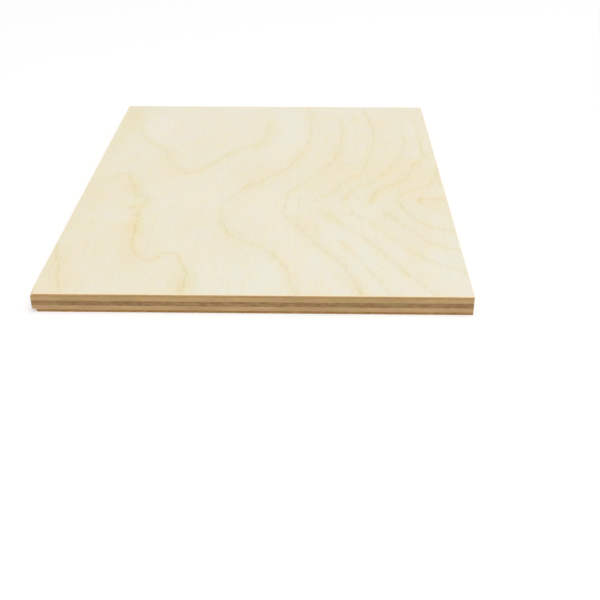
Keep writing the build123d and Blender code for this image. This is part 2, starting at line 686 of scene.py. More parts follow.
@dataclass(frozen=True)
class FlameNest:
    """The quieter figure of the underside: flames nested one in the other.

    Places and lengths are in percent of the sheet's width from the left edge and of its depth
    from the back edge.

    Attributes:
        tips: Where along the depth each flame's tip lies.
        axis: Where across the width the tips lie.
        opening: Half width of a flame at the back edge, for a tip at the front edge.
        lean: How far the flames lean over on their way.
        overrun: How far their limbs run on past the back edge.
        steepness: How fast the limbs run back from the tip.
        steps: Stretches of each limb.
        waves: For each of the two waves in a limb, its height, how fast it swings along the limb
            and how far it shifts from one flame to the next.
        strength: How dark the palest flame is.
        unevenness: How much darker the darkest one is.
        strength_turn: How the strengths change from one flame to the next.
        patch: The soft patch that the tips lie in.
    """

    tips: tuple[float, ...] = (14, 30, 44, 57, 71, 88, 104)
    axis: float = 58
    opening: float = 52
    lean: float = -5
    overrun: float = 6
    steepness: float = 1.15
    steps: int = 8
    waves: tuple[tuple[float, float, float], ...] = ((1.6, 4.1, 2.3), (0.9, 5.7, 1.0))
    strength: float = 0.45
    unevenness: float = 0.25
    strength_turn: float = 1.7
    patch: SoftPatch = SoftPatch((58, 20), (12, 40), 0.35)

    def flame(self, number: int, tip: float) -> RingLine:
        """One flame, from one limb's end round the tip to the other's.

        Args:
            number: Its number, from the back.
            tip: Where its tip lies.

        Returns:
            The flame.
        """
        points = []
        for step in range(-self.steps, self.steps + 1):
            share = step / self.steps
            spread = self.opening * share * math.sqrt(tip / 100)
            wave = sum(height * math.sin(pace * share + shift * number)
                       for height, pace, shift in self.waves)
            back = (tip + self.overrun) * share ** 2 * self.steepness
            points.append((self.axis + self.lean * share ** 2 + spread + wave, tip - back))
        strength = self.strength + self.unevenness * math.sin(self.strength_turn * number) ** 2
        return RingLine(tuple(points), (strength,))

    def figure(self) -> Figure:
        """All the flames and the patch as one figure."""
        flames = tuple(self.flame(number, tip) for number, tip in enumerate(self.tips))
        return Figure(lines=flames, patches=(self.patch,))


# A ply's mesh

@dataclass
class Ply:
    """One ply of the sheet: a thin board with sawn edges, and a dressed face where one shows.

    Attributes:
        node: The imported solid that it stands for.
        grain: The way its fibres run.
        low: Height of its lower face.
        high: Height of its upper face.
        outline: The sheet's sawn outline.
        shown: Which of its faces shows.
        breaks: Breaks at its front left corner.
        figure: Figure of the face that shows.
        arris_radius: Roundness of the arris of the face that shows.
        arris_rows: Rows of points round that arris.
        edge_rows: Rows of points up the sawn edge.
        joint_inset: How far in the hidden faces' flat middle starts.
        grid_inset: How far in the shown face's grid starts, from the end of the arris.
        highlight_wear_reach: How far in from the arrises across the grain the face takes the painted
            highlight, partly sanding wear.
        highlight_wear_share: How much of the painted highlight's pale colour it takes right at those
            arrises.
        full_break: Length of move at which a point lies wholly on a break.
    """

    node: str
    grain: Grain
    low: float
    high: float
    outline: Outline
    shown: Shown = Shown.NEITHER
    breaks: tuple[CornerBreak, ...] = ()
    figure: Optional[Figure] = None
    arris_radius: float = 0.3 * MM
    arris_rows: int = 5
    edge_rows: int = 8
    joint_inset: float = 1.0 * MM
    grid_inset: float = 0.12 * MM
    highlight_wear_reach: float = 0.6 * MM
    highlight_wear_share: float = 0.8
    full_break: float = 0.25 * MM

    # Relief of the sawn edge: along the fibres, on their ends, from the saw and on a break
    GROOVES: ClassVar[Pattern] = Pattern((0.3, 4), place=3)
    BANDS: ClassVar[Pattern] = Pattern((1.2, 0.3), place=11, lie=Lie.ENDS)
    PITS: ClassVar[Pattern] = Pattern((0.7, 0.5), place=23, lie=Lie.ENDS)
    SAW_MARKS: ClassVar[Pattern] = Pattern((1.1, 1.1, 9), place=31, lie=Lie.FREE)
    TORN_FIBRES: ClassVar[Pattern] = Pattern((0.35, 1.8, 0.35), place=47, lie=Lie.FREE)

    @property
    def layout(self) -> MapLayout:
        """The ply's flat map."""
        hidden = self.shown is Shown.NEITHER
        return MapLayout(face_share=0.0, splits=2) if hidden else MapLayout(face_share=0.76, splits=1)

    def levels(self) -> list[tuple[float, float, float]]:
        """Rows of the sawn edge from the lower face to the upper one.

        Returns:
            For each row its share of the height, its inset, and how much of it is sawn edge
            and not face.
        """
        round_share = self.arris_radius / (self.high - self.low)
        hidden = self.shown is Shown.NEITHER
        straight_end = 1 if hidden else 1 - round_share
        rows = [(share, 0.0, 1.0) for share in np.linspace(0, straight_end, self.edge_rows)]
        if hidden:
            return rows
        quarter = math.pi / 2
        for turn in np.linspace(0, quarter, self.arris_rows + 1)[1:]:
            share = straight_end + round_share * math.sin(turn)
            rows.append((share, self.arris_radius * (1 - math.cos(turn)), 1 - turn / quarter))
        if self.shown is Shown.UNDER:
            rows = [(1 - share, inset, sawn) for share, inset, sawn in reversed(rows)]
        return rows

    def placed(self, points: np.ndarray, heights: np.ndarray,
               inset: float) -> tuple[np.ndarray, np.ndarray]:
        """Puts points of the square outline where the worn corners and the breaks have them.

        Args:
            points: Points as rows of x and y.
            heights: Height of each point.
            inset: How far their outermost ring lies inside the sawn outline.

        Returns:
            The placed points, and from 0 to 1 how much each lies on a break.
        """
        placed = self.outline.worn(points, inset)
        broken = np.zeros(len(points))
        for gone in self.breaks:
            move = gone.shift(points, heights, self.outline.half)
            near = move.any(axis=1)
            placed[near] = np.maximum(placed[near], (points + move)[near])
            broken = np.maximum(broken, np.clip(np.abs(move).max(axis=1) / self.full_break, 0, 1))
        return placed, broken

    def swings(self, pattern: Pattern, points: np.ndarray) -> np.ndarray:
        """A pattern's swings at each point, from about -1 to 1."""
        return waver(points, pattern.spacing(self.grain), pattern.place)

    def relief(self, points: np.ndarray, end_grain: np.ndarray, broken: np.ndarray) -> np.ndarray:
        """How far the saw and the wood's own pores cut in behind the plane of the edge.

        Args:
            points: Points of one row as rows of x, y and z.
            end_grain: From 0 to 1, how much the fibres' ends show at each.
            broken: From 0 to 1, how much each lies on a break.

        Returns:
            A depth for each point, nought or more.
        """
        shallow, groove, pit, saw, tear = 0.012 * MM, 0.012 * MM, 0.09 * MM, 0.008 * MM, 0.10 * MM
        least, pit_start, middle = 0.002 * MM, 0.38, 0.5
        pits = np.clip(self.swings(self.PITS, points) - pit_start, 0, None)
        smooth = groove * (middle + self.swings(self.GROOVES, points)) * (1 - end_grain)
        rough = (groove * (middle + self.swings(self.BANDS, points)) + pit * pits) * end_grain
        torn = tear * broken * (middle + self.swings(self.TORN_FIBRES, points))
        depth = shallow + smooth + rough + saw * self.swings(self.SAW_MARKS, points) + torn
        return np.clip(depth, least, None)

    def glue_gap(self, share: float) -> float:
        """How far a row of the sawn edge lies from the nearer glue line.

        Args:
            share: The row's share of the ply's height.

        Returns:
            The distance.
        """
        thickness = self.high - self.low
        below = math.inf if self.shown is Shown.UNDER else share * thickness
        above = math.inf if self.shown is Shown.TOP else (1 - share) * thickness
        return min(below, above)

    def mesh(self) -> bpy.types.Mesh:
        """Makes the ply's mesh.

        Returns:
            One closed mesh, with what the finish needs stored at its points.
        """
        on_outline = self.outline.worn(self.outline.rim(0.0), 0.0)
        lowest, highest = (
            np.full(len(on_outline), height) if self.shown is outer else glue_height(on_outline, height)
            for height, outer in ((self.low, Shown.UNDER), (self.high, Shown.TOP)))
        shell = Shell()
        rows = []
        for share, inset, sawn in self.levels():
            heights = lowest + (highest - lowest) * share
            points, broken = self.placed(self.outline.rim(inset), heights, inset)
            outward = self.outward(points)
            end_grain = np.abs(outward[:, self.grain.value])
            depth = self.relief(with_height(points, heights), end_grain, broken) * sawn
            points = points - outward * depth[:, None]
            # The arris value, largest halfway round the rounded arris, places the painted highlight there,
            # partly sanding wear.
            rows.append(shell.add(with_height(points, heights), sawn=sawn, end_grain=end_grain,
                                  broken=broken, arris=math.sin(math.pi * sawn),
                                  glue_gap=self.glue_gap(share) / MM))
        for below, above in zip(rows, rows[1:]):
            shell.band(below, above)
        shell.places.append(self.edge_places(len(rows) - 1))
        self.close(shell, rows[-1], upward=True)
        self.close(shell, rows[0], upward=False)
        return shell.mesh(f"{self.node}_mesh")

    def edge_places(self, bands: int) -> np.ndarray:
        """Places on the flat map of the corners of the sawn edges' faces.

        Args:
            bands: Bands of faces from the lower face to the upper one.

        Returns:
            Places as rows, in the order of the bands' faces.
        """
        rim = self.outline.rim(0.0)
        coarse = self.outline.rim(0.0, fine=False)
        after = np.roll(coarse, -1, axis=0)
        front = np.flatnonzero(np.isclose(after[:, 0], self.outline.half_x))[0] + 1
        right = np.flatnonzero(np.isclose(after[:, 1], self.outline.half_y))[0] + 1
        corners = np.array([0, front, right, right + front, len(coarse)]) * self.outline.fineness
        starts = [round(start + (stop - start) * part / self.layout.splits)
                  for start, stop in zip(corners, corners[1:]) for part in range(self.layout.splits)]
        steps = np.linalg.norm(np.roll(rim, -1, axis=0) - rim, axis=1)
        travelled = np.concatenate([[0], np.cumsum(steps)])
        number = np.searchsorted(starts, np.arange(len(rim)), side="right") - 1
        bounds = np.append(starts, len(rim))
        begin, end = travelled[bounds[number]], travelled[bounds[number + 1]]
        here = (travelled[:-1] - begin) / (end - begin)
        there = (travelled[1:] - begin) / (end - begin)
        along = np.stack([here, there, there, here], axis=1)
        places = []
        for band in range(bands):
            up = np.array([band, band, band + 1, band + 1]) / bands
            places.append(self.layout.strip(number[:, None], along, up[None, :]).reshape(-1, 2))
        return np.concatenate(places)

    @staticmethod
    def outward(points: np.ndarray) -> np.ndarray:
        """Which way is out at each point of a closed row.

        Args:
            points: The row, anticlockwise, as rows of x and y.

        Returns:
            Unit vectors as rows of x and y.
        """
        tangent = np.roll(points, -1, axis=0) - np.roll(points, 1, axis=0)
        tangent /= np.linalg.norm(tangent, axis=1)[:, None]
        return np.column_stack([tangent[:, 1], -tangent[:, 0]])

    def close(self, shell: "Shell", rim: np.ndarray, upward: bool) -> None:
        """Closes one flat face: as a grid if it shows, and as one polygon if glue hides it.

        Args:
            shell: The mesh so far.
            rim: Indices of the face's fine rim.
            upward: True for the upper face.
        """
        height = self.high if upward else self.low
        half = self.outline.half
        first = len(shell.faces)
        if self.shown is not (Shown.TOP if upward else Shown.UNDER):
            square = self.outline.rim(self.joint_inset, fine=False)
            points, _ = self.placed(square, np.full(len(square), height), self.joint_inset)
            ring = shell.add(with_height(points, height), glue_gap=0.0)
            shell.bridge(rim, ring, self.outline.fineness, upward)
            shell.face(ring.tolist(), upward)
            share = shell.corner_points(first) / half / 2 + 0.5
            shell.places.append(self.layout.hidden(share, upward))
            return
        inset = self.arris_radius + self.grid_inset
        square, counts = self.outline.grid(inset)
        points, _ = self.placed(square, np.full(len(square), height), inset)
        fields = self.figure.fields(points, half) if self.figure else {}
        from_end = half[1] - np.abs(points[:, 1]) - inset
        # Painted highlight on the face near the arrises across the grain, partly sanding wear.
        fields["arris"] = self.highlight_wear_share * np.clip(1 - from_end / self.highlight_wear_reach, 0, 1)
        grid = shell.add(with_height(points, height), **fields)
        shell.bridge(rim, grid[self.outline.rim_of(counts)], self.outline.fineness, upward)
        shell.sheet(grid, counts, upward)
        shell.places.append(self.layout.face(shell.corner_points(first) / half / 2 + 0.5))


class Shell:
    """A mesh in the making.

    Attributes:
        points: Its points, as groups of rows of x, y and z.
        count: How many there are.
        faces: Each face's points by index.
        places: Places of the faces' corners on the flat map, as groups of rows.
        values: Values of each attribute at the points, as groups.
    """

    DEFAULTS: ClassVar[dict[str, float]] = {
        "sawn": 0.0,
        "end_grain": 0.0,
        "broken": 0.0,
        "arris": 0.0,
        "glue_gap": 1.0,
        "ring_offset": 20.0,
        "ring_run": 0.0,
        "ring_strength": 0.0,
        "soft_shade": 0.0,
    }

    def __init__(self) -> None:
        """Starts with no points and no faces."""
        self.points: list[np.ndarray] = []
        self.count = 0
        self.faces: list[tuple[int, ...]] = []
        self.places: list[np.ndarray] = []
        self.values: dict[str, list[np.ndarray]] = {name: [] for name in self.DEFAULTS}

    def add(self, points: np.ndarray, **values: Union[float, np.ndarray]) -> np.ndarray:
        """Adds points.

        Args:
            points: Points as rows of x, y and z.
            values: Values of some attributes, one for all points or one for each.

        Returns:
            The points' indices.
        """
        indices = np.arange(self.count, self.count + len(points))
        self.points.append(points)
        self.count += len(points)
        for name, default in self.DEFAULTS.items():
            self.values[name].append(np.broadcast_to(values.get(name, default), len(points)))
        return indices

    def face(self, corners: Sequence[int], upward: bool = True) -> None:
        """Adds a face whose corners run anticlockwise seen from above, turned over if it looks down."""
        self.faces.append(tuple(corners) if upward else tuple(reversed(corners)))

    def band(self, below: np.ndarray, above: np.ndarray) -> None:
        """Joins two closed rows of as many points, with the faces outwards."""
        next_below, next_above = np.roll(below, -1), np.roll(above, -1)
        self.faces += zip(below.tolist(), next_below.tolist(), next_above.tolist(), above.tolist())

    def bridge(self, fine: np.ndarray, coarse: np.ndarray, fineness: int, upward: bool) -> None:
        """Joins a fine rim to a coarse ring inside it.

        Args:
            fine: Indices of the rim, anticlockwise.
            coarse: Indices of the ring, one for each fineness of the rim's.
            fineness: Points on the rim for each point on the ring.
            upward: True if the faces look up.
        """
        for number, here in enumerate(coarse):
            after = coarse[(number + 1) % len(coarse)]
            first = number * fineness
            middle = first + fineness // 2
            for outer in range(first, first + fineness):
                inner = here if outer < middle else after
                self.face((fine[outer], fine[(outer + 1) % len(fine)], inner), upward)
            self.face((fine[middle], after, here), upward)

    def sheet(self, grid: np.ndarray, counts: tuple[int, int], upward: bool) -> None:
        """Adds the faces of a grid of points.

        Args:
            grid: Their indices, row by row from the front.
            counts: How many points lie across and along.
            upward: True if the faces look up.
        """
        across, along = counts
        for row in range(along - 1):
            start = grid[row * across:(row + 1) * across].tolist()
            stop = grid[(row + 1) * across:(row + 2) * across].tolist()
            for corners in zip(start, start[1:], stop[1:], stop):
                self.face(corners, upward)

    def corner_points(self, first: int) -> np.ndarray:
        """Where the corners of the faces from number first on lie, as rows of x and y."""
        return np.concatenate(self.points)[np.concatenate(self.faces[first:]), :2]

    def mesh(self, name: str) -> bpy.types.Mesh:
        """Finishes the mesh, smooth but for its sharp edges.

        Args:
            name: Its name.

        Returns:
            The mesh.
        """
        sharp_angle = math.radians(38)
        mesh = bpy.data.meshes.new(name)
        mesh.from_pydata(np.concatenate(self.points).tolist(), [], self.faces)
        for attribute, parts in self.values.items():
            layer = mesh.attributes.new(attribute, "FLOAT", "POINT")
            layer.data.foreach_set("value", np.concatenate(parts).astype(np.float32))
        layer = mesh.uv_layers.new(name=MAP_NAME)
        layer.uv.foreach_set("vector", np.concatenate(self.places).astype(np.float32).ravel())
        mesh.shade_smooth()
        mesh.set_sharp_from_angle(angle=sharp_angle)
        return mesh


# Nodes

class NodeDesk:
    """Makes and links the nodes of one tree.

    Attributes:
        tree: The tree.
    """

    def __init__(self, tree: bpy.types.NodeTree) -> None:
        """Starts with no nodes."""
        self.tree = tree
        self.tree.nodes.clear()

    def node(self, kind: str, links: dict[Union[int, str], Union[Socket, float, Sequence[float]]],
             **settings: str) -> bpy.types.Node:
        """Makes a node with its inputs linked or set.

        Args:
            kind: The node's kind.
            links: Its inputs by name or number, each with a socket to link or a value to set.
            settings: Its properties.

        Returns:
            The node.
        """
        made = self.tree.nodes.new(kind)
        for name, value in settings.items():
            setattr(made, name, value)
        for key, value in links.items():
            socket = made.inputs[key]
            if isinstance(value, bpy.types.NodeSocket):
                self.tree.links.new(value, socket)
            else:
                socket.default_value = (*value, 1.0) if socket.type == "RGBA" else value
        return made


class ShaderDesk(NodeDesk):
    """The desk for one material or for the world.

    Attributes:
        owner: The material or the world.
        grain: The way the wood's fibres run.
        shift: Where in every noise to read.
        place: The object's own coordinates.
    """

    def __init__(self, owner: Union[bpy.types.Material, bpy.types.World], grain: Grain = Grain.ALONG,
                 shift: float = 0.0) -> None:
        """Starts with no nodes but the coordinates.

        Args:
            owner: A new material or world.
            grain: The way the wood's fibres run.
            shift: Where in every noise to read.
        """
        owner.use_nodes = True
        super().__init__(owner.node_tree)
        self.owner, self.grain, self.shift = owner, grain, shift
        self.place = self.node("ShaderNodeTexCoord", {}).outputs["Object"]

    def maths(self, operation: str, first: Socket, second: Union[float, Socket]) -> Socket:
        """The result of one sum on two numbers."""
        return self.node("ShaderNodeMath", {0: first, 1: second}, operation=operation).outputs[0]

    def span(self, value: Socket, start: float, stop: float, low: float = 0.0,
             high: float = 1.0) -> Socket:
        """A value eased from low to high as it goes from start to stop."""
        links = dict(enumerate((value, start, stop, low, high)))
        return self.node("ShaderNodeMapRange", links, interpolation_type="SMOOTHSTEP").outputs[0]

    def clouds(self, pattern: Pattern) -> Socket:
        """Makes a pattern's noise on the object's own coordinates.

        Args:
            pattern: The pattern.

        Returns:
            The noise, 0 to 1.
        """
        vector = self.place
        if pattern.turn:
            vector = self.node("ShaderNodeMapping", {"Vector": vector, "Rotation": pattern.turn}).outputs[0]
        place = self.node("ShaderNodeMapping", {
            "Vector": vector, "Location": [self.shift + pattern.place] * 3,
            "Scale": [1 / part for part in pattern.spacing(self.grain)]})
        return self.node("ShaderNodeTexNoise", {
            "Vector": place.outputs[0], "Scale": 1.0, "Detail": pattern.detail,
            "Roughness": pattern.rough}).outputs[0]

    def eased(self, pattern: Pattern, noise_made: Optional[Socket] = None) -> Socket:
        """A pattern's result, from its own noise or from noise that is made already."""
        value = self.clouds(pattern) if noise_made is None else noise_made
        return self.span(value, pattern.start, pattern.stop, pattern.low, pattern.high)

    def mix(self, share: Union[float, Socket], base: Union[Colour, Socket],
            other: Union[Colour, Socket], blend: str) -> Socket:
        """The base colour with a share of the other blended in."""
        links = {0: share, 6: base, 7: other}
        return self.node("ShaderNodeMix", links, data_type="RGBA", blend_type=blend).outputs[2]

    def tint(self, share: Socket, base: Union[Colour, Socket], other: Union[Colour, Socket]) -> Socket:
        """The base colour with a share of another mixed in."""
        return self.mix(share, base, other, "MIX")

    def shade(self, colour: Union[Colour, Socket], factor: Socket) -> Socket:
        """A colour made darker or lighter by a factor."""
        return self.mix(1.0, colour, factor, "MULTIPLY")

    def attribute(self, name: str) -> Socket:
        """A value stored at the mesh's points."""
        return self.node("ShaderNodeAttribute", {}, attribute_name=name).outputs["Fac"]

    def ramp(self, value: Socket, curve: Curve) -> Socket:
        """Reads a value off a curve.

        Args:
            value: The value to read with.
            curve: Points of the curve, as values and results.

        Returns:
            The result.
        """
        start, reach = curve[0][0], curve[-1][0] - curve[0][0]
        share = self.maths("DIVIDE", self.maths("SUBTRACT", value, start), reach)
        node = self.node("ShaderNodeValToRGB", {0: share})
        elements = node.color_ramp.elements
        while len(elements) < len(curve):
            elements.new(0.5)
        for element, (at, result) in zip(elements, curve):
            element.position = (at - start) / reach
            element.color = (result, result, result, 1.0)
        return node.outputs[0]

    def seen(self) -> Socket:
        """Tells the rays that show a thing from those that only light others.

        Returns:
            1 for rays from the camera, in reflections and through glass, and 0 for the rest.
        """
        path = self.node("ShaderNodeLightPath", {}).outputs
        seen = self.maths("MAXIMUM", path["Is Camera Ray"], path["Is Glossy Ray"])
        return self.maths("MAXIMUM", seen, path["Is Transmission Ray"])

    def wood(self, colour: Socket, height: Socket, depth: float,
             roughness: Union[float, Socket]) -> bpy.types.Material:
        """Finishes a material as bare sanded wood.

        Args:
            colour: Its colour.
            height: The relief of its surface, 0 to 1.
            depth: The depth of that relief.
            roughness: Its roughness.

        Returns:
            The material.
        """
        gloss = 0.25
        bump = self.node("ShaderNodeBump", {"Height": height, "Distance": depth})
        shader = self.node("ShaderNodeBsdfPrincipled", {
            "Base Color": colour, "Roughness": roughness, "Specular IOR Level": gloss,
            "Normal": bump.outputs[0]})
        self.node("ShaderNodeOutputMaterial", {"Surface": shader.outputs[0]})
        return self.owner


# Finishes

@dataclass(frozen=True)
class BirchFinish:
    """Bare sanded birch: a pale face, and sawn edges that are dark where the fibres end.

    Attributes:
        name: The material's name.
        grain: The way the fibres run.
        pale: The face's palest colour.
        warm: The face where it is yellower.
        ring: Colour that fades out beside a ring line.
        ring_core: Colour of the line itself.
        pore: The face's pores.
        glint: Painted glints, near-white specks where fibres would catch the light.
        green: Where the face leans to green, as shares of its colour.
        rosy: The same where it leans to pink.
        yellower: The same where it is yellower.
        bluer: The same where it is less yellow.
        arris_highlight_and_wear: Painted highlight along the arrises, partly the paler wood of sanding
            wear.
        side: Sawn edge where the fibres run along it.
        end: Sawn edge where the fibres end.
        end_dark: Its darker pores and bands.
        edge_rosy: Sawn edge where it leans to pink.
        edge_olive: Sawn edge where it leans to green.
        fray: Torn fibre along the outer arris of the sawn edge.
        frayed: How much of that there is.
        fresh: A broken surface.
        fresh_dark: Its darker fibres.
        jag_reach: How far a ring line's jags reach, in millimetres.
        wander_reach: How far its slow wander reaches, in millimetres.
        face_rough: Roughness of the face.
        edge_rough: Roughness of the sawn edges.
        relief_depth: Depth of the fine relief.
        place: Where in every noise to read, so that the plies differ.
    """

    name: str
    grain: Grain
    pale: Colour = srgb(241, 236, 219)
    warm: Colour = srgb(240, 231, 206)
    ring: Colour = srgb(240, 224, 175)
    ring_core: Colour = srgb(213, 201, 139)
    pore: Colour = srgb(206, 186, 152)
    glint: Colour = srgb(253, 250, 240)
    green: Colour = (0.981, 1.01, 1.024)
    rosy: Colour = (1.019, 0.989, 0.976)
    yellower: Colour = (1.0, 1.0, 0.955)
    bluer: Colour = (1.0, 1.0, 1.04)
    arris_highlight_and_wear: Colour = srgb(255, 230, 184)
    side: Colour = srgb(229, 192, 133)
    end: Colour = srgb(202, 162, 114)
    end_dark: Colour = srgb(168, 127, 84)
    edge_rosy: Colour = srgb(228, 180, 148)
    edge_olive: Colour = srgb(204, 182, 118)
    fray: Colour = srgb(244, 216, 168)
    frayed: float = 0.0
    fresh: Colour = srgb(240, 218, 178)
    fresh_dark: Colour = srgb(216, 180, 132)
    jag_reach: float = 9.5
    wander_reach: float = 1.6
    face_rough: float = 0.58
    edge_rough: float = 0.82
    relief_depth: float = 0.03 * MM
    place: float = 0.0

    # The face: slow changes first, then streaks and fibres, then pores and glints
    DRIFT: ClassVar[Pattern] = Pattern((24, 60), place=1, start=0.3, stop=0.7, low=0.1, high=0.7)
    BANDS: ClassVar[Pattern] = Pattern((2.2, 30), place=8, start=0.55, high=0.16)
    LEAN: ClassVar[Pattern] = Pattern((10, 22), place=17, detail=5, rough=0.72, start=0.32, stop=0.68)
    YELLOW: ClassVar[Pattern] = Pattern((4, 10), place=18, detail=4, rough=0.65, start=0.3, stop=0.7)
    STREAKS: ClassVar[Pattern] = Pattern((0.8, 11), place=2, detail=4, rough=0.65, low=0.984,
                                         high=1.014)
    FIBRES: ClassVar[Pattern] = Pattern((0.2, 3), place=3, low=0.996, high=1.004)
    MOTTLE: ClassVar[Pattern] = Pattern((1.0, 2.2), place=19, detail=3, rough=0.6, low=0.982,
                                        high=1.015)
    PORES: ClassVar[Pattern] = Pattern((0.36, 1.5), place=4, detail=1, start=0.68)
    GLINTS: ClassVar[Pattern] = Pattern((0.4, 0.9), place=21, detail=1, start=0.68, stop=0.76,
                                        high=0.35)

    # The ring lines, and how much colour shows at each offset from one, in millimetres
    JAGS: ClassVar[Pattern] = Pattern((1.6, 12), place=5, detail=3, rough=0.8)
    WANDER: ClassVar[Pattern] = Pattern((3.5, 6, 5), place=6, lie=Lie.FREE)
    PATCHY: ClassVar[Pattern] = Pattern((2.4, 9), place=7, detail=3, start=0.3, stop=0.7, low=0.55,
                                        high=1.35)
    BESIDE: ClassVar[Curve] = ((-4.0, 0.0), (-2.4, 0.17), (-1.3, 0.37), (-0.4, 0.55), (0.4, 0.58),
                               (1.4, 0.44), (2.6, 0.27), (5.0, 0.1), (8.0, 0.0))
    CORE: ClassVar[Curve] = ((-1.0, 0.0), (-0.35, 0.05), (-0.05, 0.34), (0.25, 0.3), (0.9, 0.0), (1.0, 0.0))

    # The sawn edge: along the fibres, on their ends, then what crosses both, and a break
    LENGTHS: ClassVar[Pattern] = Pattern((0.22, 6), place=11, detail=3, rough=0.6, low=0.86, high=1.09)
    END_BANDS: ClassVar[Pattern] = Pattern((2.6, 0.4), place=12, detail=3, rough=0.65, start=0.3,
                                           stop=0.7, lie=Lie.ENDS)
    END_PORES: ClassVar[Pattern] = Pattern((0.14, 0.14), place=13, detail=1, start=0.55, low=1.0,
                                           high=0.76, lie=Lie.ENDS)
    CHECKS: ClassVar[Pattern] = Pattern((0.28, 2.2), place=14, detail=1, start=0.62, stop=0.74, low=1.0,
                                        high=0.7, lie=Lie.ENDS,
                                        turn=(math.radians(35), math.radians(35), 0.0))
    SHADES: ClassVar[Pattern] = Pattern((17, 17, 4), place=15, detail=3, rough=0.6, start=0.3, stop=0.7,
                                        low=0.9, high=1.03, lie=Lie.FREE)
    ROSY_PARTS: ClassVar[Pattern] = Pattern((7, 7, 1.5), place=16, detail=3, rough=0.6, start=0.5,
                                            stop=0.68, high=0.45, lie=Lie.FREE)
    OLIVE_PARTS: ClassVar[Pattern] = replace(ROSY_PARTS, start=0.32, stop=0.48, low=0.45, high=0.0)
    CRUMBS: ClassVar[Pattern] = Pattern((0.7, 0.7, 0.3), place=20, start=0.54, stop=0.66, lie=Lie.FREE)
    TORN: ClassVar[Pattern] = Pattern((0.2, 2), place=9, detail=3)

    def build(self) -> bpy.types.Material:
        """Makes the material.

        Returns:
            The material.
        """
        seep_reach, seep_shade = 0.1, 0.72
        desk = ShaderDesk(bpy.data.materials.new(self.name), self.grain, self.place)
        sawn = desk.attribute("sawn")
        face, face_relief = self.face(desk)
        edge, edge_relief = self.edge(desk)
        colour = desk.tint(sawn, face, edge)
        # Painted highlight along the arrises, partly sanding wear: a pale warm colour mixed in where the
        # arris value is high.
        colour = desk.tint(desk.attribute("arris"), colour, self.arris_highlight_and_wear)
        fresh = desk.tint(desk.clouds(self.TORN), self.fresh_dark, self.fresh)
        colour = desk.tint(desk.attribute("broken"), colour, fresh)
        seep = desk.span(desk.attribute("glue_gap"), 0.0, seep_reach, seep_shade, 1.0)
        colour = desk.shade(colour, seep)
        relief = desk.node("ShaderNodeMix", {0: sawn, 2: face_relief, 3: edge_relief})
        roughness = desk.span(sawn, 0.0, 1.0, self.face_rough, self.edge_rough)
        return desk.wood(colour, relief.outputs[0], self.relief_depth, roughness)

    def face(self, desk: ShaderDesk) -> tuple[Socket, Socket]:
        """Dresses the flat face, with its rings, fibres and pores.

        Args:
            desk: The material in the making.

        Returns:
            Its colour and its relief.
        """
        soft_share, pores_in_soft, pores_elsewhere = 0.45, 0.7, 0.26
        fibre_height, pore_depth = 0.5, 0.4
        soft = desk.attribute("soft_shade")
        colour = desk.tint(desk.eased(self.DRIFT), self.pale, self.warm)
        beside, core = self.rings(desk)
        for share in (desk.maths("MULTIPLY", soft, soft_share), desk.eased(self.BANDS), beside):
            colour = desk.tint(share, colour, self.ring)
        colour = desk.tint(core, colour, self.ring_core)
        leans = ((self.LEAN, self.green, self.rosy), (self.YELLOW, self.yellower, self.bluer))
        for pattern, low, high in leans:
            colour = desk.shade(colour, desk.tint(desk.eased(pattern), low, high))
        fibres = desk.clouds(self.FIBRES)
        for factor in (desk.eased(self.STREAKS), desk.eased(self.FIBRES, fibres), desk.eased(self.MOTTLE)):
            colour = desk.shade(colour, factor)
        pores = desk.eased(self.PORES)
        flecks = desk.maths("ADD", desk.maths("MULTIPLY", soft, pores_in_soft), pores_elsewhere)
        colour = desk.tint(desk.maths("MULTIPLY", pores, flecks), colour, self.pore)
        # Painted glints: sparse near-white specks that stand in for fibres catching the light.
        colour = desk.tint(desk.eased(self.GLINTS), colour, self.glint)
        fibres = desk.maths("MULTIPLY", fibres, fibre_height)
        return colour, desk.maths("SUBTRACT", fibres, desk.maths("MULTIPLY", pores, pore_depth))

    def rings(self, desk: ShaderDesk) -> tuple[Socket, ...]:
        """Draws the ring lines, with jags where they run across the grain.

        Args:
            desk: The material in the making.

        Returns:
            How much of the two ring colours shows: beside a line, more to one side, and on it.
        """
        middle = 0.5
        jags = desk.maths("SUBTRACT", desk.clouds(self.JAGS), middle)
        jags = desk.maths("MULTIPLY", desk.maths("MULTIPLY", jags, self.jag_reach),
                          desk.attribute("ring_run"))
        wander = desk.maths("SUBTRACT", desk.clouds(self.WANDER), middle)
        offset = desk.maths("ADD", desk.attribute("ring_offset"), jags)
        offset = desk.maths("ADD", offset, desk.maths("MULTIPLY", wander, self.wander_reach))
        strength = desk.maths("MULTIPLY", desk.eased(self.PATCHY), desk.attribute("ring_strength"))
        return tuple(desk.maths("MULTIPLY", desk.ramp(offset, curve), strength)
                     for curve in (self.BESIDE, self.CORE))

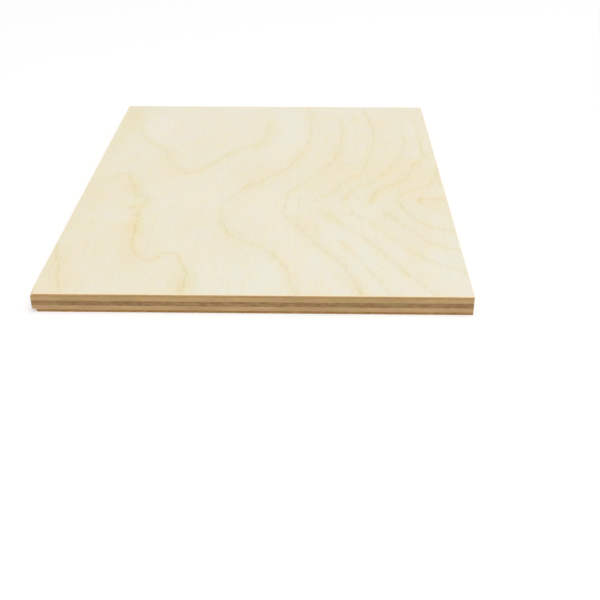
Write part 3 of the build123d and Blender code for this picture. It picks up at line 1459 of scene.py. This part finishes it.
    def edge(self, desk: ShaderDesk) -> tuple[Socket, Socket]:
        """Dresses the sawn edge, along the fibres and at their ends.

        Args:
            desk: The material in the making.

        Returns:
            Its colour and its relief.
        """
        ends_start, ends_full = 0.3, 0.8
        fray_start, fray_full = 0.5, 0.8
        lengths = desk.clouds(self.LENGTHS)
        side = desk.shade(self.side, desk.eased(self.LENGTHS, lengths))
        end = desk.tint(desk.eased(self.END_BANDS), self.end_dark, self.end)
        pores = desk.clouds(self.END_PORES)
        for factor in (desk.eased(self.END_PORES, pores), desk.eased(self.CHECKS)):
            end = desk.shade(end, factor)
        ends = desk.span(desk.attribute("end_grain"), ends_start, ends_full)
        colour = desk.shade(desk.tint(ends, side, end), desk.eased(self.SHADES))
        hue = desk.clouds(self.ROSY_PARTS)
        for pattern, other in ((self.ROSY_PARTS, self.edge_rosy), (self.OLIVE_PARTS, self.edge_olive)):
            colour = desk.tint(desk.eased(pattern, hue), colour, other)
        outer = desk.span(desk.attribute("glue_gap"), fray_start, fray_full, 0.0, self.frayed)
        colour = desk.tint(desk.maths("MULTIPLY", desk.eased(self.CRUMBS), outer), colour, self.fray)
        return colour, desk.maths("SUBTRACT", lengths, desk.maths("MULTIPLY", pores, ends))


@dataclass(frozen=True)
class PlainFinish:
    """A finish of one colour that varies a little.

    Attributes:
        name: The material's name.
        light: Its lighter colour.
        dark: Its darker colour.
        roughness: Its roughness.
        relief_depth: Depth of its fine relief.
    """

    name: str
    light: Colour
    dark: Colour
    roughness: float
    relief_depth: float = 0.01 * MM

    MOTTLE: ClassVar[Pattern] = Pattern((0.9, 0.9, 0.3), place=5, detail=3, start=0.3, stop=0.7,
                                        lie=Lie.FREE)

    def build(self) -> bpy.types.Material:
        """Makes the material.

        Returns:
            The material.
        """
        desk = ShaderDesk(bpy.data.materials.new(self.name))
        mottle = desk.clouds(self.MOTTLE)
        colour = desk.tint(desk.eased(self.MOTTLE, mottle), self.dark, self.light)
        return desk.wood(colour, mottle, self.relief_depth, self.roughness)


# Pieces made by geometry nodes

class GeometryDesk(NodeDesk):
    """The desk for one geometry tree, which turns its result into a plain mesh.

    Attributes:
        identifiers: Identifier of each named input.
        given: What the tree is given.
        result: The socket that takes its result.
    """

    def __init__(self, name: str, inputs: dict[str, str]) -> None:
        """Starts a tree that takes a curve.

        Args:
            name: The tree's name.
            inputs: Its named inputs and their kinds.
        """
        super().__init__(bpy.data.node_groups.new(name, "GeometryNodeTree"))
        face = self.tree.interface
        for way in ("INPUT", "OUTPUT"):
            face.new_socket(name="Geometry", in_out=way, socket_type="NodeSocketGeometry")
        self.identifiers = {
            label: face.new_socket(name=label, in_out="INPUT", socket_type=f"NodeSocket{kind}").identifier
            for label, kind in inputs.items()}
        self.given = self.tree.nodes.new("NodeGroupInput").outputs
        self.result = self.tree.nodes.new("NodeGroupOutput").inputs[0]

    def finish(self, geometry: Socket) -> None:
        """Ends the tree with its instances made real and its material set.

        Args:
            geometry: What the tree has made.
        """
        real = self.node("GeometryNodeRealizeInstances", {0: geometry})
        dressed = self.node("GeometryNodeSetMaterial", {
            "Geometry": real.outputs[0], "Material": self.given["Material"]})
        self.tree.links.new(dressed.outputs[0], self.result)

    def run(self, name: str, paths: Sequence[np.ndarray], closed: bool,
            values: dict[str, Union[float, int, bpy.types.Material]]) -> bpy.types.Object:
        """Runs the tree on some paths.

        Args:
            name: Name of the piece that comes out.
            paths: The paths, each as rows of x, y and z.
            closed: True if the paths' ends meet.
            values: Values of the named inputs.

        Returns:
            The piece, as a plain mesh.
        """
        curve = bpy.data.curves.new(f"{name}_path", "CURVE")
        curve.dimensions = "3D"
        for path in paths:
            spline = curve.splines.new("POLY")
            spline.points.add(len(path) - 1)
            spline.points.foreach_set("co", np.column_stack([path, np.ones(len(path))]).ravel())
            spline.use_cyclic_u = closed
        host = put_in_scene(f"{name}_host", curve)
        modifier = host.modifiers.new("Nodes", "NODES")
        modifier.node_group = self.tree
        for label, value in values.items():
            modifier[self.identifiers[label]] = value
        evaluated = host.evaluated_get(bpy.context.evaluated_depsgraph_get())
        mesh = bpy.data.meshes.new_from_object(evaluated)
        piece = put_in_scene(name, mesh)
        host.modifiers.remove(modifier)
        bpy.data.objects.remove(host)
        return piece


@dataclass(frozen=True)
class GlueLines:
    """The dried glue between the plies, a thin dark bead that follows each joint round the sheet.

    Attributes:
        plies: The ply below each joint.
        thickness: Height of the bead.
        depth: How far it goes into the joint.
        unevenness: How much its thickness varies.
        swells: About how many times it does so in a metre.
        swell_noise: Noise at which it is thinnest and fullest.
        swell_detail: Number of finer swells on the large ones.
        recess: How far its face lies behind the plane of the edge.
        pick: It follows one in this many of the outline's points.
    """

    plies: tuple[Ply, ...]
    thickness: float = 0.055 * MM
    depth: float = 0.09 * MM
    unevenness: float = 0.6
    swells: float = 420.0
    swell_noise: tuple[float, float] = (0.3, 0.6)
    swell_detail: float = 2.0
    recess: float = 0.014 * MM
    pick: int = 2

    def build(self, material: bpy.types.Material) -> bpy.types.Object:
        """Makes the beads of all the joints as one piece.

        Args:
            material: Their finish.

        Returns:
            The piece.
        """
        desk = GeometryDesk("glue_bead", {
            "Bead Height": "Float", "Bead Depth": "Float", "Unevenness": "Float", "Material": "Material"})
        upright = desk.node("GeometryNodeSetCurveNormal", {"Curve": desk.given["Geometry"]}, mode="Z_UP")
        place = desk.node("GeometryNodeInputPosition", {})
        cloud = desk.node("ShaderNodeTexNoise", {
            "Vector": place.outputs[0], "Scale": self.swells, "Detail": self.swell_detail})
        low = desk.node("ShaderNodeMath", {0: 1.0, 1: desk.given["Unevenness"]}, operation="SUBTRACT")
        width = desk.node("ShaderNodeMapRange", {
            "Value": cloud.outputs[0], "From Min": self.swell_noise[0], "From Max": self.swell_noise[1],
            "To Min": low.outputs[0], "To Max": 1.0})
        section = desk.node("GeometryNodeCurvePrimitiveQuadrilateral", {
            "Width": desk.given["Bead Depth"], "Height": desk.given["Bead Height"]})
        bead = desk.node("GeometryNodeCurveToMesh", {
            "Curve": upright.outputs[0], "Profile Curve": section.outputs[0], "Scale": width.outputs[0]})
        desk.finish(bead.outputs[0])
        inset = self.recess + self.depth / 2
        paths = []
        for ply in self.plies:
            rim = ply.outline.rim(0.0)[::self.pick]
            heights = glue_height(ply.outline.worn(rim, 0.0), ply.high)
            placed, _ = ply.placed(rim, heights, 0.0)
            paths.append(with_height(placed - Ply.outward(placed) * inset, heights))
        return desk.run("glue_lines", paths, True, {
            "Bead Height": self.thickness, "Bead Depth": self.depth, "Unevenness": self.unevenness,
            "Material": material})


@dataclass(frozen=True)
class ArrisFibres:
    """Fibres that the saw lifted along the arrises across the grain, and left lying there.

    Attributes:
        outline: The sheet's sawn outline.
        top: Height of the sheet's upper face.
        pitch: Distance from one place to the next.
        kept: Share of the places that have a fibre.
        length: Length of the longest.
        thickness: Thickness of the thickest.
        tip: Thickness of a fibre's tip beside its foot.
        smallest: Size of the smallest fibre beside the largest.
        sides: Sides of a fibre.
        stretches: Stretches along its length.
        tilt: How far it leans out of the arris's line, in radians.
        seat: How far in from each of the two planes they lie.
        margin: Bare length at the ends of each arris.
        seed: Seed of the random draws.
    """

    outline: Outline
    top: float
    pitch: float = 1.1 * MM
    kept: float = 0.6
    length: float = 1.2 * MM
    thickness: float = 0.07 * MM
    tip: float = 0.25
    smallest: float = 0.25
    sides: int = 5
    stretches: int = 2
    tilt: float = 0.026
    seat: float = 0.085 * MM
    margin: float = 3 * MM
    seed: int = 4

    def build(self, material: bpy.types.Material) -> bpy.types.Object:
        """Makes all the fibres as one piece.

        Args:
            material: Their finish.

        Returns:
            The piece.
        """
        desk = GeometryDesk("arris_fibre", {
            "Pitch": "Float", "Fibre Length": "Float", "Fibre Thickness": "Float", "Seed": "Int",
            "Material": "Material"})
        given, seed = desk.given, {"Seed": desk.given["Seed"]}
        spots = desk.node("GeometryNodeCurveToPoints", {
            "Curve": given["Geometry"], "Length": given["Pitch"]}, mode="LENGTH")
        radius = desk.node("ShaderNodeMath", {0: given["Fibre Thickness"], 1: 2.0}, operation="DIVIDE")
        fibre = desk.node("GeometryNodeMeshCone", {
            "Vertices": self.sides, "Side Segments": self.stretches,
            "Radius Top": self.tip * self.thickness / 2, "Radius Bottom": radius.outputs[0],
            "Depth": given["Fibre Length"]})
        lean = desk.node("FunctionNodeRandomValue", {
            0: (-self.tilt, -self.tilt, 0.0), 1: (self.tilt, self.tilt, 2 * math.pi), **seed},
            data_type="FLOAT_VECTOR")
        leaning = desk.node("FunctionNodeEulerToRotation", {0: lean.outputs[0]})
        rotation = desk.node("FunctionNodeRotateRotation", {
            0: spots.outputs["Rotation"], 1: leaning.outputs[0]}, rotation_space="LOCAL")
        size = desk.node("FunctionNodeRandomValue", {2: self.smallest, 3: 1.0, **seed}, data_type="FLOAT")
        kept = desk.node("FunctionNodeRandomValue", {"Probability": self.kept, **seed}, data_type="BOOLEAN")
        lying = desk.node("GeometryNodeInstanceOnPoints", {
            "Points": spots.outputs["Points"], "Selection": kept.outputs[3],
            "Instance": fibre.outputs["Mesh"], "Rotation": rotation.outputs[0], "Scale": size.outputs[1]})
        desk.finish(lying.outputs[0])
        reach = self.outline.half_x - self.margin
        paths = []
        for height in (self.seat, self.top - self.seat):
            for y in (self.seat - self.outline.half_y, self.outline.half_y - self.seat):
                paths.append(np.array([[-reach, y, height], [reach, y, height]]))
        return desk.run("arris_fibres", paths, False, {
            "Pitch": self.pitch, "Fibre Length": self.length, "Fibre Thickness": self.thickness,
            "Seed": self.seed, "Material": material})


# The sheet

@dataclass
class PlywoodSheet:
    """The whole sheet: five plies, the glue between them and the fibres on its arrises.

    Attributes:
        outline: The sheet's sawn outline.
        top: Height of its upper face.
        scrap: How far the torn scrap reaches along the front and the left edge, at the underside.
        scrap_at_glue: The same at its glue line.
        wedge_height: Height of the wedge that it pulled off the ply above.
        flake: How far the struck flake reaches along the two edges, at the upper face.
        flake_height: Height of that flake.
        back_arris: Roundness of the back's arris.
    """

    outline: Outline
    top: float
    scrap: tuple[float, float] = (1.95 * MM, 3.6 * MM)
    scrap_at_glue: tuple[float, float] = (1.45 * MM, 3.1 * MM)
    wedge_height: float = 0.25 * MM
    flake: tuple[float, float] = (0.8 * MM, 5.0 * MM)
    flake_height: float = 1.2 * MM
    back_arris: float = 0.15 * MM

    NOTHING: ClassVar[tuple[float, float]] = (0.0, 0.0)
    FINISHES: ClassVar[dict[str, BirchFinish]] = {
        "face_veneer": BirchFinish("birch_face_veneer", Grain.ALONG, end=srgb(238, 191, 131),
                                   end_dark=srgb(218, 168, 110), fresh=srgb(250, 240, 208),
                                   fresh_dark=srgb(236, 222, 182), frayed=0.5, place=0.0),
        "upper_crossband": BirchFinish("birch_upper_crossband", Grain.ACROSS, place=20.0),
        "core_ply": BirchFinish("birch_core", Grain.ALONG, place=40.0),
        "lower_crossband": BirchFinish("birch_lower_crossband", Grain.ACROSS, side=srgb(231, 192, 138),
                                       place=60.0),
        "back_veneer": BirchFinish("birch_back_veneer", Grain.ALONG, end=srgb(212, 162, 101),
                                   end_dark=srgb(184, 131, 75), frayed=0.7, place=80.0),
    }
    GLUE: ClassVar[PlainFinish] = PlainFinish("dried_glue", srgb(166, 128, 86), srgb(132, 97, 62), 0.5)
    LIFTED: ClassVar[PlainFinish] = PlainFinish("lifted_fibres", srgb(246, 228, 192), srgb(226, 196, 150),
                                                0.7)

    def torn_corner(self, glue: float) -> CornerBreak:
        """The scrap torn out of the back veneer, up to its glue line."""
        return CornerBreak(0.0, glue, low_size=self.scrap, high_size=self.scrap_at_glue, belly=(0.6, 0.45))

    def pulled_wedge(self, glue: float) -> CornerBreak:
        """The thin wedge that the scrap pulled off the lower crossband."""
        return CornerBreak(glue, glue + self.wedge_height, self.scrap_at_glue, self.NOTHING)

    def struck_corner(self) -> CornerBreak:
        """The flake knocked off the top of the sheet."""
        return CornerBreak(self.top - self.flake_height, self.top, self.NOTHING, self.flake)

    def plies(self) -> list[Ply]:
        """Lays out the five plies.

        Returns:
            The plies from the underside up.
        """
        boxes = {node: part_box(node) for node in self.FINISHES}
        glue = boxes["back_veneer"][1][2]
        special = {
            "face_veneer": {"shown": Shown.TOP, "figure": FACE_FIGURE, "breaks": (self.struck_corner(),)},
            "upper_crossband": {"breaks": (self.struck_corner(),)},
            "lower_crossband": {"breaks": (self.pulled_wedge(glue),)},
            "back_veneer": {"shown": Shown.UNDER, "figure": FlameNest().figure(),
                            "arris_radius": self.back_arris, "breaks": (self.torn_corner(glue),)},
        }
        return [Ply(node, finish.grain, low=boxes[node][0][2], high=boxes[node][1][2], outline=self.outline,
                    **special.get(node, {}))
                for node, finish in reversed(self.FINISHES.items())]

    def build(self) -> None:
        """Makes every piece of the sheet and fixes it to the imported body."""
        slots = {part["node"]: part["material_slot"] for part in frame["record"]["subparts"]}
        plies = self.plies()
        for ply in plies:
            mesh = ply.mesh()
            mesh.materials.append(self.FINISHES[ply.node].build())
            piece = put_in_scene(f"{ply.node}_board", mesh)
            self.fix(piece, slots[ply.node])
            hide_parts(ply.node)
        self.fix(GlueLines(tuple(plies[:-1])).build(self.GLUE.build()), slots["core_ply"])
        self.fix(ArrisFibres(self.outline, self.top).build(self.LIFTED.build()), slots["face_veneer"])

    @staticmethod
    def fix(piece: bpy.types.Object, slot: str) -> None:
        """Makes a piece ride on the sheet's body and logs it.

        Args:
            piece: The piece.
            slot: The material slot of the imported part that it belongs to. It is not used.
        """
        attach(piece, "root")
        LOG.info("%s: %d faces", piece.name, len(piece.data.polygons))


# The studio

@dataclass(frozen=True)
class Lamp:
    """One soft lamp.

    Attributes:
        name: What it is called.
        position: Where it hangs.
        size: Length of its sides.
        power: Its power in watts.
    """

    name: str
    position: tuple[float, float, float]
    size: float
    power: float


@dataclass(frozen=True)
class Studio:
    """A pale floor, soft light from above, and the camera.

    Attributes:
        camera_position: Where the camera stands.
        camera_aim: The point that it looks at.
        lens: Its focal length in millimetres, for a sensor 36 mm wide.
        nearest: The nearest that it sees.
        sky: Strength of the light from all round.
        lamps: The lamps.
        floor_size: Length of the floor's sides.
        floor_gap: How far the floor lies below the sheet.
        floor_grey: The floor's colour for the light that it sends on to the sheet.
        seen_grey: Its colour for the camera.
        glow: Its own brightness for the camera, near the sheet and far off.
        glow_reach: How far off those two are.
    """

    camera_position: tuple[float, float, float] = (21.42 * MM, -392.68 * MM, 169.12 * MM)
    camera_aim: tuple[float, float, float] = (16.63 * MM, -104.66 * MM, 7.2 * MM)
    lens: float = 58.57
    nearest: float = 10 * MM
    sky: float = 0.42
    lamps: tuple[Lamp, ...] = (
        Lamp("softbox", (0.24, -0.20, 1.70), 1.3, 19.2),
    )
    floor_size: float = 8.0
    floor_gap: float = 0.03 * MM
    floor_grey: Colour = (0.72, 0.72, 0.72)
    seen_grey: Colour = (0.58, 0.58, 0.58)
    glow: tuple[float, float] = (0.47, 1.0)
    glow_reach: tuple[float, float] = (0.4, 1.6)

    WHITE: ClassVar[Colour] = (1.0, 1.0, 1.0)

    def build(self) -> None:
        """Makes the studio."""
        self.floor()
        self.world()
        for lamp in self.lamps:
            self.hang(lamp)
        self.camera()

    def floor(self) -> None:
        """Lays a pale floor that shows white to the camera and keeps the sheet's shadow."""
        half = self.floor_size / 2
        corners = [(-half, -half), (half, -half), (half, half), (-half, half)]
        mesh = bpy.data.meshes.new("floor")
        mesh.from_pydata([(x, y, -self.floor_gap) for x, y in corners], [], [(0, 1, 2, 3)])
        mesh.materials.append(self.floor_finish())
        floor = put_in_scene("floor", mesh)

    def floor_finish(self) -> bpy.types.Material:
        """Makes a matt pale grey that is whiter to the camera, the more so far from the sheet.

        Returns:
            The floor's material.
        """
        desk = ShaderDesk(bpy.data.materials.new("studio_floor"))
        seen = desk.seen()
        grey = desk.tint(seen, self.floor_grey, self.seen_grey)
        matt = desk.node("ShaderNodeBsdfDiffuse", {"Color": grey})
        away = desk.node("ShaderNodeVectorMath", {0: desk.place}, operation="LENGTH")
        whiter = desk.span(away.outputs["Value"], *self.glow_reach, *self.glow)
        glow = desk.node("ShaderNodeEmission", {
            "Color": self.WHITE, "Strength": desk.maths("MULTIPLY", seen, whiter)})
        both = desk.node("ShaderNodeAddShader", {0: matt.outputs[0], 1: glow.outputs[0]})
        desk.node("ShaderNodeOutputMaterial", {"Surface": both.outputs[0]})
        return desk.owner

    def world(self) -> None:
        """Makes even light from all round, and white where the camera looks past the floor."""
        world = bpy.data.worlds.new("studio")
        desk = ShaderDesk(world)
        strength = desk.span(desk.seen(), 0.0, 1.0, self.sky, 1.0)
        light = desk.node("ShaderNodeBackground", {"Color": self.WHITE, "Strength": strength})
        desk.node("ShaderNodeOutputWorld", {"Surface": light.outputs[0]})
        bpy.context.scene.world = world

    @staticmethod
    def hang(lamp: Lamp) -> None:
        """Hangs one lamp, turned to the sheet.

        Args:
            lamp: The lamp.
        """
        light = bpy.data.lights.new(lamp.name, "AREA")
        light.shape = "SQUARE"
        light.size = lamp.size
        light.energy = lamp.power
        hung = put_in_scene(lamp.name, light)
        hung.location = lamp.position
        hung.rotation_euler = Vector(lamp.position).to_track_quat("Z", "Y").to_euler()

    def camera(self) -> None:
        """Sets up the camera at the viewing angle."""
        lens = bpy.data.cameras.new("camera")
        lens.lens = self.lens
        lens.clip_start = self.nearest
        camera = put_in_scene("camera", lens)
        camera.location = self.camera_position
        away = Vector(self.camera_aim) - Vector(self.camera_position)
        camera.rotation_euler = away.to_track_quat("-Z", "Y").to_euler()
        bpy.context.scene.camera = camera


def main() -> None:
    """Builds the studio and the sheet."""
    logging.basicConfig(level=logging.INFO, format="%(name)s: %(message)s")
    bpy.context.scene.view_settings.view_transform = "Standard"
    Studio().build()
    low, high = CAD_BOX
    outline = Outline(half_x=(high[0] - low[0]) / 2, half_y=(high[1] - low[1]) / 2)
    PlywoodSheet(outline, top=high[2]).build()


if __name__ == "__main__":
    main()
